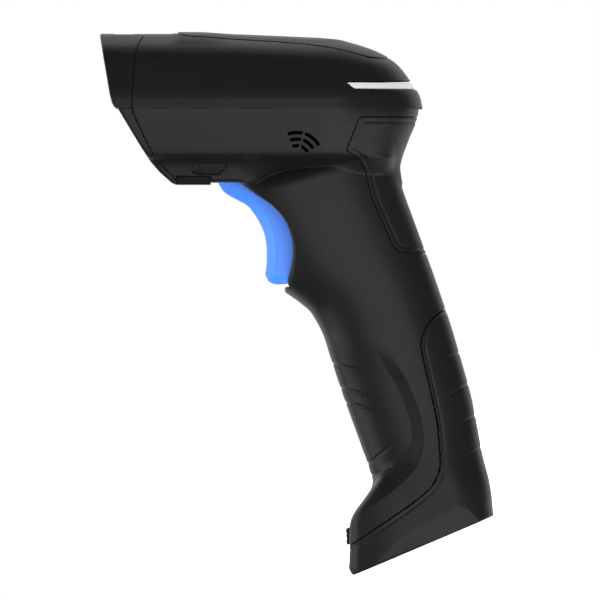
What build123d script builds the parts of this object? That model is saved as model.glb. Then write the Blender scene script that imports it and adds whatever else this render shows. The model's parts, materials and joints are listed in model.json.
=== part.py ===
from build123d import *
import os
from math import cos, radians, sin

# Handheld barcode scanner with a pistol grip, standing on the flat face of its foot.
# The origin is in the middle of that face, +Z is up, the nose points to -X and the
# scanner is symmetric about Y = 0. Standing like this, the head is tilted up by TILT.
# Lengths are millimetres.

os.makedirs("parts", exist_ok=True)

# ---------------------------------------------------------------- driving dimensions
TILT = 23.0                      # head against the floor, degrees
WALL = 2.0                       # housing walls
SKIN = 1.0                       # rubber pads let into the housing
GAP = 0.1                        # between pieces that are fixed together
CLEAR = 0.4                      # between pieces that move past each other

# Head, in the head's own level frame: x along the head, z above the foot
CROWN_X = -32.6                  # centre of the round back of the head
CROWN_TOP = 157.3
CROWN_R = 32.3                   # half the width of the head
SHOULDER_Z = 145.0               # crease below the top surface
RIDGE_Z = 140.5                  # crease above the side wall
RIM_Z = 135.0                    # joint between upper and lower housing
FOLD_Z = 121.5                   # side wall turns in towards the keel
KEEL_Z = 111.6                   # flat underside
KEEL_HALF = 21.0
NOSE_X = -106.0                  # beyond the tip of the nose
BAR_LOW, BAR_HIGH = 141.4, 143.6
BAR_FRONT = -23.6

BOARD_Z = 128.0
BOARD_THICK = 1.6
BOARD_POSTS = [(-56.0, 16.5), (-56.0, -16.5), (-24.0, 16.5), (-24.0, -16.5)]
BRACKET_Z = 138.0
BRACKET_POSTS = [(-66.5, 17.0), (-66.5, -17.0)]

# Trigger, in the head's frame
TRIGGER_PIVOT = (-60.0, 115.6)
TRIGGER_HALF = 9.5
TRIGGER_PULL = 5.5               # degrees

# Grip and foot, in the standing frame
HINGE = (35.1, 65.5)             # edge that the battery cover turns on
HOUSING_SCREWS = [(0.2, 33.0), (1.4, 62.0), (30.6, 97.0)]
HEAD_SCREWS = [(-79.0, 122.2), (-14.5, 124.0)]
CELL_R = 9.2
CELL_LENGTH = 65.0
CELL_LEAN = 7.0
CELL_FOOT = (13.2, 9.4)          # centre of the cell's lower end

# ---------------------------------------------------------------- planes
TURN = radians(TILT)
HEAD = Plane(origin=(0, 0, 0), x_dir=(cos(TURN), 0, -sin(TURN)), z_dir=(sin(TURN), 0, cos(TURN)))
HEAD_SIDE = Plane(origin=(0, 0, 0), x_dir=(cos(TURN), 0, -sin(TURN)), z_dir=(0, -1, 0))
LEAN = radians(CELL_LEAN)
CELL = Plane(
    origin=(CELL_FOOT[0], 0, CELL_FOOT[1]),
    x_dir=(cos(LEAN), 0, -sin(LEAN)),
    z_dir=(sin(LEAN), 0, cos(LEAN)),
)


def level(height):
    """Plane across the head at a height above the foot."""
    return HEAD.offset(height)


def across(x):
    """Plane square to the head's length."""
    return Plane(origin=HEAD.from_local_coords((x, 0, 0)), x_dir=(0, 1, 0), z_dir=HEAD.x_dir)


# ---------------------------------------------------------------- forms
def crown_edge(half_width, top, inset, side):
    """One side of the crown's cross-section, from the ridge line down to the rim."""
    edge = half_width - inset
    shoulder = edge - 4.4
    peak = Vector(0, top - inset)
    upper = Vector(side * 0.38 * shoulder, top - 1.9 - inset)
    lower = Vector(side * 0.80 * shoulder, top - 6.5 - inset)
    crease = Vector(side * shoulder, SHOULDER_Z - 0.5 * inset)
    ridge = Vector(side * (edge - 1.4), RIDGE_Z - 0.3 * inset)
    rim = Vector(side * edge, RIM_Z)
    Spline(peak, upper, lower, crease, tangents=((side, 0), (side * 0.45, -1)))
    Line(crease, ridge)
    Line(ridge, rim)
    return peak, rim


def crown(inset):
    """Top half of the head: straight towards the nose, round at the back."""
    stations = [(NOSE_X, 30.1, 158.6), (-80.0, 31.2, 158.5), (CROWN_X, CROWN_R, CROWN_TOP)]
    with BuildPart() as form:
        for x, half_width, top in stations:
            with BuildSketch(across(x)):
                with BuildLine():
                    for side in (1, -1):
                        crown_edge(half_width, top, inset, side)
                    Line((half_width - inset, RIM_Z), (inset - half_width, RIM_Z))
                make_face()
        loft()
        with BuildSketch(across(CROWN_X)):
            with BuildLine():
                peak, rim = crown_edge(CROWN_R, CROWN_TOP, inset, 1)
                Line(rim, (0, RIM_Z))
                Line((0, RIM_Z), peak)
            make_face()
        centre = HEAD.from_local_coords((CROWN_X, 0, 0))
        revolve(axis=Axis(centre, -HEAD.z_dir), revolution_arc=180)
    return form.part


def lower_head(inset):
    """Bottom half of the head, level by level: side walls, the fold, and the keel."""
    levels = [
        (RIM_Z, CROWN_R, CROWN_R),
        (128.0, CROWN_R - 0.2, 29.2),
        (FOLD_Z, CROWN_R - 1.4, 26.6),
        (117.0, KEEL_HALF + 1.2, 25.3),
        (KEEL_Z + inset, KEEL_HALF, 25.0),
    ]
    with BuildPart() as form:
        for height, half_width, rear in levels:
            nose_half = half_width - 2.2 - inset
            half = half_width - inset
            with BuildSketch(level(height)):
                with BuildLine():
                    Line((NOSE_X, nose_half), (CROWN_X, half))
                    for start in (-90, 0):
                        EllipticalCenterArc((CROWN_X, 0), rear - inset, half, start_angle=start, arc_size=90)
                    Line((CROWN_X, -half), (NOSE_X, -nose_half))
                    Line((NOSE_X, -nose_half), (NOSE_X, nose_half))
                make_face()
        loft(ruled=True)
    return form.part


def column(inset):
    """Neck and grip: oval sections from the foot up into the head."""
    stations = [
        (2.0 + inset, -8.0, 23.6, 17.6),
        (30.0, -6.1, 30.3, 17.2),
        (54.0, -4.8, 33.6, 17.4),
        (76.0, -3.4, 35.7, 18.0),
        (90.0, -8.6, 36.3, 18.8),
        (104.0, -13.0, 37.0, 20.2),
        (120.0, -16.0, 40.0, 21.2),
    ]
    with BuildPart() as form:
        for height, front, back, half in stations:
            middle = ((front + back) / 2, 0)
            depth = (back - front) / 2 - inset
            with BuildSketch(Plane.XY.offset(height)):
                with BuildLine():
                    for start in (-90, 90):
                        EllipticalCenterArc(middle, depth, half - inset, start_angle=start, arc_size=180)
                make_face()
        loft()
    return form.part


def foot(inset):
    """Foot: a rounded block that reaches forward to the toe."""
    stations = [(inset, -24.0, 22.8, 19.6), (7.0, -22.6, 25.0, 20.4), (15.0, -18.6, 27.0, 19.8),
                (23.4, -7.6, 28.9, 17.6)]
    with BuildPart() as form:
        for height, front, back, half in stations:
            with BuildSketch(Plane.XY.offset(height)):
                with Locations(((front + back) / 2, 0)):
                    RectangleRounded(back - front - 2 * inset, 2 * (half - inset), 13.0 - inset)
        loft(ruled=True)
    return form.part


def side_block(plane, outline, near=-60.0, far=60.0):
    """Closed outline on a side plane, as a block between two distances across the scanner."""
    with BuildPart() as form:
        with BuildSketch(plane.offset(near)):
            with BuildLine():
                Polyline(*outline, outline[0])
            make_face()
        extrude(amount=far - near)
    return form.part


def side_box(plane, x_range, z_range, half_width):
    """Box given by its side view, symmetric across the scanner."""
    (x0, x1), (z0, z1) = x_range, z_range
    return side_block(plane, [(x0, z0), (x1, z0), (x1, z1), (x0, z1)], -half_width, half_width)


def half_space(side):
    """Everything on one side of the middle plane: 1 for the left, -1 for the right."""
    edge = [(-150.0, -50.0), (150.0, -50.0), (150.0, 250.0), (-150.0, 250.0)]
    return side_block(Plane.XZ, edge, min(0, 60 * side), max(0, 60 * side))


def trigger_bay(margin, half_width=60.0):
    """Hollow in front of the neck for the trigger and the finger, cut back by a margin."""
    with BuildPart() as form:
        with BuildSketch(HEAD_SIDE):
            with BuildLine():
                Spline((-56.0 + margin, KEEL_Z - 0.2), (-46.8 + margin, 105.1), (-41.4 + margin, 96.0),
                       (-40.9 + margin, 88.0), (-43.2 + margin, 79.4))
                Polyline((-43.2 + margin, 79.4), (-80.0, 60.0), (-80.0, KEEL_Z - 0.2),
                         (-56.0 + margin, KEEL_Z - 0.2))
            make_face()
        extrude(amount=half_width, both=True)
    return form.part


def body(inset):
    """The whole lower body as one closed form."""
    with BuildPart() as form:
        add(lower_head(inset))
        add(column(inset))
        add(foot(inset))
        add(trigger_bay(inset), mode=Mode.SUBTRACT)
    return form.part


def below_chin(back, rise):
    """Everything in front of the nose and below the chin, moved back and up by a wall."""
    edge = [(-100.6, 170.0), (-100.6, 158.6), (-97.0, 138.4), (-95.8, 135.2), (-94.4, 134.6),
            (-84.6, 118.4), (-77.4, KEEL_Z), (-77.4, 100.0), (-125.0, 100.0), (-125.0, 170.0)]
    moved = [(x + back, z + rise) for x, z in edge]
    return side_block(HEAD_SIDE, moved)


def nose(shift):
    """Everything in front of the joint between bezel and housings."""
    seam = [(-87.2, 170.0), (-87.2, 157.2), (-88.9, 154.0), (-89.9, 148.0), (-90.2, 134.9),
            (-88.0, 129.4), (-84.9, 122.8), (-81.3, 117.5), (-77.8, 114.4), (-76.9, 100.0)]
    moved = [(x + shift, z) for x, z in seam]
    return side_block(HEAD_SIDE, moved + [(-130.0, 100.0), (-130.0, 170.0)])


def cover_side(shift):
    """Everything behind and below the joint of the battery cover."""
    seam = [(40.0, 65.9), (35.1, 65.3), (30.2, 64.0), (26.1, 61.3), (23.6, 58.0), (22.6, 55.0),
            (19.8, 40.0), (16.4, 26.4), (14.2, 20.8), (11.4, 17.4), (7.9, 15.2), (-8.8, 11.3), (-30.0, 7.0)]
    moved = [(x + shift, z - shift) for x, z in seam]
    return side_block(Plane.XZ, moved + [(-30.0, -12.0), (60.0, -12.0)])


def web_side(margin):
    """Side view of the rubber pad behind the neck."""
    edge = [(-24.0 - margin, 122.3), (-20.3 - margin, 132.4 + margin), (8.0, 132.4 + margin),
            (8.0, 89.9 - margin), (-8.4 - margin, 91.1 - margin), (-12.7 - margin, 99.8),
            (-18.7 - margin, 116.9), (-21.3 - margin, 120.7)]
    return side_block(HEAD_SIDE, edge)


def panel_plan(margin):
    """Outline of the top panel, seen from above, as a column through the head."""
    front = -77.8 - margin
    with BuildPart() as form:
        with BuildSketch(level(145.0)):
            with BuildLine():
                for side in (1, -1):
                    Line((front, 0), (front, side * (8.0 + margin)))
                    Spline((front, side * (8.0 + margin)), (-46.0, side * (9.6 + margin)),
                           (-22.0, side * (14.6 + margin)), (-11.0 + margin, 0),
                           tangents=((1, 0), (0, -side)))
            make_face()
        extrude(amount=30)
    return form.part


def coil(plane, radius, wire, height, turns):
    """Round-wire coil spring standing on a plane."""
    with BuildPart() as form:
        with BuildLine() as path:
            Helix(pitch=height / turns, height=height, radius=radius)
        with BuildSketch(Plane(origin=path.line @ 0, z_dir=path.line % 0)):
            Circle(wire)
        sweep(path=path.line, is_frenet=True)
    return plane.location * form.part


def ring_slots(centre, radii, width, gap_angles):
    """Speaker slots: concentric arcs with a break, on the side of the head."""
    with BuildPart() as form:
        with BuildSketch(HEAD_SIDE):
            with Locations(centre):
                for radius in radii:
                    for start, sweep_angle in gap_angles:
                        SlotArc(CenterArc((0, 0), radius, start, sweep_angle), width)
        extrude(amount=40)
    return form.part


def write(piece, label):
    """Name a finished piece and save it."""
    piece.label = label
    export_step(piece, f"parts/{label}.step")


# ---------------------------------------------------------------- shared forms
crown_outer = crown(0)
crown_inner = crown(WALL)
crown_under_panel = crown(1.3)
body_outer = body(0)
body_inner = body(WALL)
body_under_pad = body(SKIN + GAP)
outside_nose = below_chin(0, 0)
bar_slab = side_box(HEAD_SIDE, (BAR_FRONT, 10.0), (BAR_LOW, BAR_HIGH), 60.0)
bar_slot = side_box(HEAD_SIDE, (BAR_FRONT - GAP, 10.0), (BAR_LOW - GAP, BAR_HIGH + GAP), 60.0)


# ---------------------------------------------------------------- upper housing
POST_R = 2.4
BOARD_TOP = BOARD_Z + BOARD_THICK
BRACKET_THICK = 1.2

with BuildPart() as crown_hollow:
    add(crown_inner)
    with BuildSketch(level(BOARD_TOP)):
        with Locations(*BOARD_POSTS):
            Circle(POST_R)
    extrude(amount=40, mode=Mode.SUBTRACT)
    with BuildSketch(level(BRACKET_Z + BRACKET_THICK)):
        with Locations(*BRACKET_POSTS):
            Circle(POST_R)
    extrude(amount=40, mode=Mode.SUBTRACT)

with BuildPart() as panel_recess:
    add(crown(-3.0))
    add(crown_under_panel, mode=Mode.SUBTRACT)
    add(panel_plan(GAP), mode=Mode.INTERSECT)

with BuildPart() as upper_housing:
    add(crown_outer)
    add(crown_hollow.part, mode=Mode.SUBTRACT)
    add(nose(GAP), mode=Mode.SUBTRACT)
    add(bar_slot, mode=Mode.SUBTRACT)
    add(panel_recess.part, mode=Mode.SUBTRACT)
    with BuildSketch(level(BOARD_TOP)):
        with Locations(*BOARD_POSTS):
            Circle(POST_R)
    extrude(amount=RIM_Z - BOARD_TOP + 1.0)
    with BuildSketch(level(BOARD_TOP)):
        with Locations(*BOARD_POSTS):
            Circle(0.9)
    extrude(amount=6.0, mode=Mode.SUBTRACT)
    with BuildSketch(level(BRACKET_Z + BRACKET_THICK)):
        with Locations(*BRACKET_POSTS):
            Circle(0.9)
    extrude(amount=6.0, mode=Mode.SUBTRACT)
write(upper_housing.part, "upper_housing")

with BuildPart() as top_panel:
    add(crown(-0.4))
    add(crown(1.2), mode=Mode.SUBTRACT)
    add(panel_plan(0), mode=Mode.INTERSECT)
write(top_panel.part, "top_panel")

with BuildPart() as light_bar:
    add(crown_outer)
    add(crown_inner, mode=Mode.SUBTRACT)
    add(bar_slab, mode=Mode.INTERSECT)
write(light_bar.part, "light_bar")


# ---------------------------------------------------------------- lower housings
BOSS_R = 2.8
SCREW_R = 1.1
SCREW_HEAD_R = 2.1
SCREW_SEAT = 7.5
PIN_R = 1.5
PIN_HALF = 14.6
PIVOT_BOSS = 10.0
PORT_X, PORT_Z = (-76.7, -66.1), (KEEL_Z - 1.0, 114.2)


def screw_points():
    """Housing screws as points in the standing side view."""
    heads = [HEAD.from_local_coords((x, 0, z)) for x, z in HEAD_SCREWS]
    return HOUSING_SCREWS + [(point.X, point.Z) for point in heads]


with BuildPart() as body_hollow:
    add(body_inner)
    with BuildSketch(Plane.XZ):
        with Locations(*screw_points()):
            Circle(BOSS_R)
    extrude(amount=60, both=True, mode=Mode.SUBTRACT)
    add(side_box(Plane.XZ, (-7.7, -6.5), (5.0, 17.0), 40), mode=Mode.SUBTRACT)
    for direction in (1, -1):
        with BuildSketch(HEAD_SIDE.offset(direction * PIVOT_BOSS)):
            with Locations(TRIGGER_PIVOT):
                Circle(3.6)
        extrude(amount=direction * 40, mode=Mode.SUBTRACT)

with BuildPart() as web_recess:
    add(body(-3.0))
    add(body_under_pad, mode=Mode.SUBTRACT)
    add(web_side(GAP), mode=Mode.INTERSECT)

with BuildPart() as lower_housing:
    add(body_outer)
    add(body_hollow.part, mode=Mode.SUBTRACT)
    add(outside_nose, mode=Mode.SUBTRACT)
    add(nose(GAP), mode=Mode.SUBTRACT)
    add(cover_side(-0.2), mode=Mode.SUBTRACT)
    add(web_recess.part, mode=Mode.SUBTRACT)
    add(trigger_bay(9.0, TRIGGER_HALF + CLEAR), mode=Mode.SUBTRACT)
    add(side_box(HEAD_SIDE, (-66.2, -44.0), (110.0, 114.4), TRIGGER_HALF + CLEAR), mode=Mode.SUBTRACT)
    port_gap_x = (PORT_X[0] - GAP, PORT_X[1] + GAP)
    port_gap_z = (PORT_Z[0], PORT_Z[1] + GAP)
    add(side_box(HEAD_SIDE, port_gap_x, port_gap_z, 40), mode=Mode.SUBTRACT)
    add(side_box(Plane.XZ, (-30.0, -12.4), (7.0, 14.4), 5.8), mode=Mode.SUBTRACT)
    for direction in (1, -1):
        with BuildSketch(HEAD_SIDE.offset(direction * 20.2)):
            with Locations((-66.0, 116.3)):
                SlotOverall(11.8, 3.8)
        extrude(amount=direction * 20, mode=Mode.SUBTRACT)
    with BuildSketch(Plane.XZ):
        with Locations(*screw_points()):
            Circle(SCREW_R + 0.1)
    extrude(amount=SCREW_SEAT + 1.5, both=True, mode=Mode.SUBTRACT)
    with BuildSketch(HEAD_SIDE):
        with Locations(TRIGGER_PIVOT):
            Circle(PIN_R + 0.05)
    extrude(amount=PIN_HALF + 0.2, both=True, mode=Mode.SUBTRACT)

with BuildPart() as left_housing:
    add(lower_housing.part)
    add(half_space(1), mode=Mode.INTERSECT)
    add(ring_slots((-39.4, 119.8), (3.7, 5.7, 7.7), 0.95, ((32, 33), (77, 33))), mode=Mode.SUBTRACT)
write(left_housing.part, "left_housing")

with BuildPart() as right_housing:
    add(lower_housing.part)
    add(half_space(-1), mode=Mode.INTERSECT)
    with BuildSketch(Plane.XZ.offset(-SCREW_SEAT)):
        with Locations(*screw_points()):
            Circle(SCREW_HEAD_R + 0.2)
    extrude(amount=-60, mode=Mode.SUBTRACT)
write(right_housing.part, "right_housing")

with BuildPart() as housing_screws:
    with BuildSketch(Plane.XZ.offset(SCREW_SEAT)):
        with Locations(*screw_points()):
            Circle(SCREW_R)
    extrude(amount=-2 * SCREW_SEAT)
    with BuildSketch(Plane.XZ.offset(-SCREW_SEAT)):
        with Locations(*screw_points()):
            Circle(SCREW_HEAD_R)
    extrude(amount=-1.6)
    with BuildSketch(Plane.XZ.offset(-SCREW_SEAT - 1.6)):
        with Locations(*screw_points()):
            RegularPolygon(1.0, 6)
    extrude(amount=1.0, mode=Mode.SUBTRACT)
write(housing_screws.part, "housing_screws")

with BuildPart() as web_pad:
    add(body_outer)
    add(body(SKIN), mode=Mode.SUBTRACT)
    add(web_side(0), mode=Mode.INTERSECT)
write(web_pad.part, "web_pad")

with BuildPart() as port_cover:
    add(body(0.2))
    add(side_box(HEAD_SIDE, PORT_X, PORT_Z, 40), mode=Mode.INTERSECT)
write(port_cover.part, "port_cover")


# ---------------------------------------------------------------- nose
WINDOW_X = (-95.6, -94.4)
PLATE_X = (-96.4, -93.0)
MOUTH_Z = (139.5, 155.2)
MOUTH_HALF = 25.5
MOUTH_INSET = 4.2
SEAT_LIP = 1.6
CHIN_WALL = (1.8, 1.0)


def mouth_block(x_range, lip):
    """A slice of the mouth's outline, which follows the crown, grown by a lip."""
    with BuildPart() as form:
        add(crown(MOUTH_INSET - lip))
        add(side_box(HEAD_SIDE, x_range, (MOUTH_Z[0] - lip, MOUTH_Z[1] + lip), MOUTH_HALF + lip),
            mode=Mode.INTERSECT)
    return form.part


with BuildPart() as nose_hollow:
    add(crown_inner)
    add(body_inner)
    add(below_chin(*CHIN_WALL), mode=Mode.SUBTRACT)

with BuildPart() as window_plate:
    add(crown(1.0))
    add(side_box(HEAD_SIDE, PLATE_X, (136.5, 160.0), 40.0), mode=Mode.INTERSECT)

with BuildPart() as front_bezel:
    add(crown_outer)
    add(body_outer)
    add(outside_nose, mode=Mode.SUBTRACT)
    add(nose_hollow.part, mode=Mode.SUBTRACT)
    add(nose(0), mode=Mode.INTERSECT)
    add(window_plate.part)
    add(mouth_block((-110.0, -80.0), 0), mode=Mode.SUBTRACT)
    add(mouth_block((WINDOW_X[0] - GAP, -80.0), SEAT_LIP), mode=Mode.SUBTRACT)
write(front_bezel.part, "front_bezel")

with BuildPart() as scan_window:
    add(mouth_block(WINDOW_X, SEAT_LIP - GAP))
write(scan_window.part, "scan_window")

with BuildPart() as window_gasket:
    add(mouth_block((WINDOW_X[1], WINDOW_X[1] + 0.8), SEAT_LIP - GAP))
    add(mouth_block((-110.0, -80.0), -0.6), mode=Mode.SUBTRACT)
write(window_gasket.part, "window_gasket")


# ---------------------------------------------------------------- battery cover and latch
with BuildPart() as battery_cover:
    add(body_outer)
    add(body_inner, mode=Mode.SUBTRACT)
    add(cover_side(0.2), mode=Mode.INTERSECT)
    hook = [(30.6, 56.0), (32.8, 56.0), (32.8, 62.0), (31.8, 63.0), (31.8, 67.0), (30.6, 67.6)]
    add(side_block(Plane.XZ, hook, -4.0, 4.0))
    add(side_box(Plane.XZ, (-30.0, -12.4), (8.4, 20.0), 5.8), mode=Mode.SUBTRACT)
write(battery_cover.part, "battery_cover")

with BuildPart() as cover_latch:
    add(side_block(Plane.XZ, [(-20.8, 10.2), (-20.2, 9.6), (-13.4, 9.6), (-13.4, 13.8), (-20.0, 13.8),
                              (-20.8, 13.0)], -5.3, 5.3))
    add(side_box(Plane.XZ, (-17.4, -15.4), (7.2, 10.0), 3.6))
    fillet(cover_latch.edges().filter_by(Axis.Y).group_by(Axis.X)[0], 0.4)
write(cover_latch.part, "cover_latch")

LATCH_SPRING = Plane(origin=(-13.0, 0, 11.7), x_dir=(0, 1, 0), z_dir=(1, 0, 0))
write(coil(LATCH_SPRING, 1.5, 0.2, 5.0, 5), "latch_spring")


# ---------------------------------------------------------------- trigger
with BuildPart() as trigger:
    with BuildSketch(HEAD_SIDE.offset(-TRIGGER_HALF)):
        with BuildLine():
            Spline((-63.8, 112.0), (-60.6, 108.5), (-54.7, 105.1), (-51.0, 100.2), (-49.0, 93.0),
                   (-49.2, 84.2))
            Polyline((-49.2, 84.2), (-47.9, 81.5), (-45.4, 80.7), (-41.6, 81.0))
            Spline((-41.6, 81.0), (-38.6, 87.0), (-38.0, 92.0), (-40.0, 98.0), (-47.0, 107.0), (-57.4, 112.4))
            Line((-57.4, 112.4), (-63.8, 112.0))
        make_face()
    extrude(amount=2 * TRIGGER_HALF)
    with BuildSketch(HEAD_SIDE.offset(-TRIGGER_HALF)):
        with Locations(TRIGGER_PIVOT):
            Circle(3.4)
        with BuildLine():
            Polyline((-63.2, 111.2), (-63.2, 115.4), (-56.8, 115.4), (-54.4, 110.0), (-63.2, 111.2))
        make_face()
    extrude(amount=2 * TRIGGER_HALF)
    with BuildSketch(HEAD_SIDE.offset(-TRIGGER_HALF)):
        with Locations(TRIGGER_PIVOT):
            Circle(PIN_R + 0.05)
    extrude(amount=2 * TRIGGER_HALF, mode=Mode.SUBTRACT)
write(trigger.part, "trigger")

with BuildPart() as trigger_pin:
    with BuildSketch(HEAD_SIDE.offset(-PIN_HALF)):
        with Locations(TRIGGER_PIVOT):
            Circle(PIN_R)
    extrude(amount=2 * PIN_HALF)
write(trigger_pin.part, "trigger_pin")

CARRIER_X = -30.4
with BuildPart() as switch_carrier:
    add(side_box(HEAD_SIDE, (CARRIER_X, CARRIER_X + 1.8), (83.0, 103.0), 12.0))
    add(side_box(HEAD_SIDE, (CARRIER_X + 1.8, CARRIER_X + 5.0), (83.0, 84.8), 12.0))
write(switch_carrier.part, "switch_carrier")

with BuildPart() as switch_board:
    add(side_box(HEAD_SIDE, (CARRIER_X - 1.0, CARRIER_X), (91.5, 102.0), 8.0))
write(switch_board.part, "switch_board")

with BuildPart() as trigger_switch:
    add(side_box(HEAD_SIDE, (CARRIER_X - 3.4, CARRIER_X - 1.0), (93.0, 99.0), 3.0))
write(trigger_switch.part, "trigger_switch")

SWITCH_FACE = HEAD.from_local_coords((CARRIER_X - 3.4, 0, 96.0))
with BuildPart() as switch_dome:
    with BuildSketch(Plane(origin=SWITCH_FACE, x_dir=(0, 1, 0), z_dir=-HEAD.x_dir)):
        Circle(2.4)
    extrude(amount=1.8, taper=20)
write(switch_dome.part, "switch_dome")

SPRING_FOOT = HEAD.from_local_coords((CARRIER_X - 0.3, 0, 88.0))
SPRING_PLANE = Plane(origin=SPRING_FOOT, x_dir=(0, 1, 0), z_dir=-HEAD.x_dir)
write(coil(SPRING_PLANE, 2.2, 0.3, 6.9, 6), "trigger_spring")


# ---------------------------------------------------------------- electronics in the head
with BuildPart() as main_board:
    with BuildSketch(level(BOARD_Z)):
        with Locations((-49.0, 0)):
            RectangleRounded(66.0, 40.0, 3.0)
        with Locations(*BOARD_POSTS):
            Circle(1.1, mode=Mode.SUBTRACT)
    extrude(amount=BOARD_THICK)
write(main_board.part, "main_board")

with BuildPart() as board_chips:
    with BuildSketch(level(BOARD_TOP)):
        with Locations((-46.0, 0)):
            Rectangle(12.0, 12.0)
        with Locations((-32.0, 6.0)):
            Rectangle(8.0, 5.0)
        with Locations((-64.0, -8.0)):
            Rectangle(5.0, 5.0)
    extrude(amount=1.1)
write(board_chips.part, "board_chips")

with BuildPart() as board_connectors:
    with BuildSketch(level(BOARD_TOP)):
        with Locations((-72.0, 0)):
            Rectangle(4.0, 12.0)
        with Locations((-20.0, 0)):
            Rectangle(4.0, 8.0)
    extrude(amount=2.2)
write(board_connectors.part, "board_connectors")

with BuildPart() as inner_screws:
    with BuildSketch(level(BOARD_Z - 1.4)):
        with Locations(*BOARD_POSTS):
            Circle(1.7)
    extrude(amount=1.4)
    with BuildSketch(level(BOARD_Z)):
        with Locations(*BOARD_POSTS):
            Circle(0.85)
    extrude(amount=BOARD_THICK + 5.0)
    with BuildSketch(level(BRACKET_Z - 1.4)):
        with Locations(*BRACKET_POSTS):
            Circle(1.7)
    extrude(amount=1.4)
    with BuildSketch(level(BRACKET_Z)):
        with Locations(*BRACKET_POSTS):
            Circle(0.85)
    extrude(amount=BRACKET_THICK + 5.0)
write(inner_screws.part, "inner_screws")

with BuildPart() as engine_bracket:
    with BuildSketch(level(BRACKET_Z)):
        with Locations((-75.0, 0)):
            Rectangle(24.0, 42.0)
        with Locations(*BRACKET_POSTS):
            Circle(1.1, mode=Mode.SUBTRACT)
    extrude(amount=BRACKET_THICK)
    add(side_box(HEAD_SIDE, (-66.0, -64.8), (BRACKET_Z, 149.0), 10.0))
write(engine_bracket.part, "engine_bracket")

ENGINE_X = (-88.0, -66.4)
ENGINE_Z = (BRACKET_Z + BRACKET_THICK, 151.5)
EYE_Z = 145.6
with BuildPart() as scan_engine:
    add(side_box(HEAD_SIDE, ENGINE_X, ENGINE_Z, 11.0))
    with BuildSketch(across(ENGINE_X[0])):
        for y in (-7.0, 0.0, 7.0):
            with Locations((y, EYE_Z)):
                Circle(4.0 if y == 0 else 1.9)
    extrude(amount=6.0, mode=Mode.SUBTRACT)
write(scan_engine.part, "scan_engine")

with BuildPart() as engine_lens:
    with BuildSketch(across(ENGINE_X[0] + 0.8)):
        with Locations((0, EYE_Z)):
            Circle(3.9)
    extrude(amount=5.2)
    fillet(engine_lens.edges().sort_by(SortBy.DISTANCE)[-1:], 0.6)
write(engine_lens.part, "engine_lens")

with BuildPart() as engine_leds:
    with BuildSketch(across(ENGINE_X[0] + 0.6)):
        for y in (-7.0, 7.0):
            with Locations((y, EYE_Z)):
                Circle(1.8)
    extrude(amount=5.4)
write(engine_leds.part, "engine_leds")

with BuildPart() as engine_cable:
    add(side_block(HEAD_SIDE, [(-64.6, 145.0), (-62.0, 145.0), (-60.4, 143.4), (-60.4, 133.6), (-62.0, 132.0),
                               (-69.8, 132.0), (-69.8, 131.8), (-62.0, 131.8), (-60.2, 133.5), (-60.2, 143.5),
                               (-61.9, 145.2), (-64.6, 145.2)], -5.0, 5.0))
write(engine_cable.part, "engine_cable")

with BuildPart() as bar_leds:
    for x, y in ((-20.4, 20.6), (-13.4, 13.8), (-9.0, 0.0), (-13.4, -13.8), (-20.4, -20.6)):
        with BuildSketch(level(BAR_LOW - 1.0)):
            with Locations((x, y)):
                Rectangle(3.0, 3.0)
        extrude(amount=1.6)
write(bar_leds.part, "bar_leds")

with BuildPart() as bar_board:
    with BuildSketch(level(BAR_LOW - 2.0)):
        with BuildLine():
            for side in (1, -1):
                Line((-30.0, side * 10.0), (-30.0, side * 24.0))
                Spline((-30.0, side * 24.0), (-14.0, side * 19.0), (-5.6, 0), tangents=((1, 0), (0, -side)))
            Spline((-30.0, 10.0), (-18.0, 0), (-30.0, -10.0), tangents=((1, 0), (-1, 0)))
        make_face()
        with Locations(*BOARD_POSTS):
            Circle(POST_R + 0.3, mode=Mode.SUBTRACT)
    extrude(amount=1.0)
write(bar_board.part, "bar_board")

BEEPER = (-39.4, 121.0)
with BuildPart() as beeper:
    with BuildSketch(HEAD_SIDE.offset(14.0)):
        with Locations(BEEPER):
            Circle(6.3)
    extrude(amount=4.2)
    with BuildSketch(HEAD_SIDE.offset(18.2)):
        with Locations(BEEPER):
            Circle(1.0)
    extrude(amount=-1.0, mode=Mode.SUBTRACT)
write(beeper.part, "beeper")

with BuildPart() as port_board:
    with BuildSketch(level(118.4)):
        with Locations((-69.4, 0)):
            Rectangle(13.0, 22.0)
    extrude(amount=1.2)
write(port_board.part, "port_board")

with BuildPart() as charging_port:
    with BuildSketch(level(114.6)):
        with Locations((-71.4, 0)):
            SlotOverall(9.0, 3.2, rotation=90)
    extrude(amount=3.8)
    with BuildSketch(level(114.6)):
        with Locations((-71.4, 0)):
            SlotOverall(8.4, 2.6, rotation=90)
    extrude(amount=2.8, mode=Mode.SUBTRACT)
write(charging_port.part, "charging_port")


# ---------------------------------------------------------------- battery in the grip
TRAY_R = CELL_R + 1.7

with BuildPart() as battery_cell:
    with BuildSketch(CELL):
        Circle(CELL_R)
    extrude(amount=CELL_LENGTH - 1.5)
    fillet(battery_cell.edges(), 0.8)
    with BuildSketch(CELL.offset(CELL_LENGTH - 1.5)):
        Circle(3.0)
    extrude(amount=1.5)
write(battery_cell.part, "battery_cell")

with BuildPart() as battery_tray:
    with BuildSketch(CELL.offset(-3.0)):
        Circle(TRAY_R)
    extrude(amount=CELL_LENGTH + 5.5)
    with BuildSketch(CELL.offset(-1.8)):
        Circle(CELL_R + 0.3)
    extrude(amount=CELL_LENGTH + 2.8, mode=Mode.SUBTRACT)
    with BuildSketch(CELL.offset(-5.0)):
        with Locations((2.0 + 15.0, 0)):
            Rectangle(30.0, 30.0)
    extrude(amount=CELL_LENGTH + 10.0, mode=Mode.SUBTRACT)
write(battery_tray.part, "battery_tray")

with BuildPart() as top_contact:
    with BuildSketch(CELL.offset(CELL_LENGTH + 0.3)):
        with Locations((-2.0, 0)):
            Rectangle(7.0, 7.0)
    extrude(amount=0.4)
write(top_contact.part, "top_contact")

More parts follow.
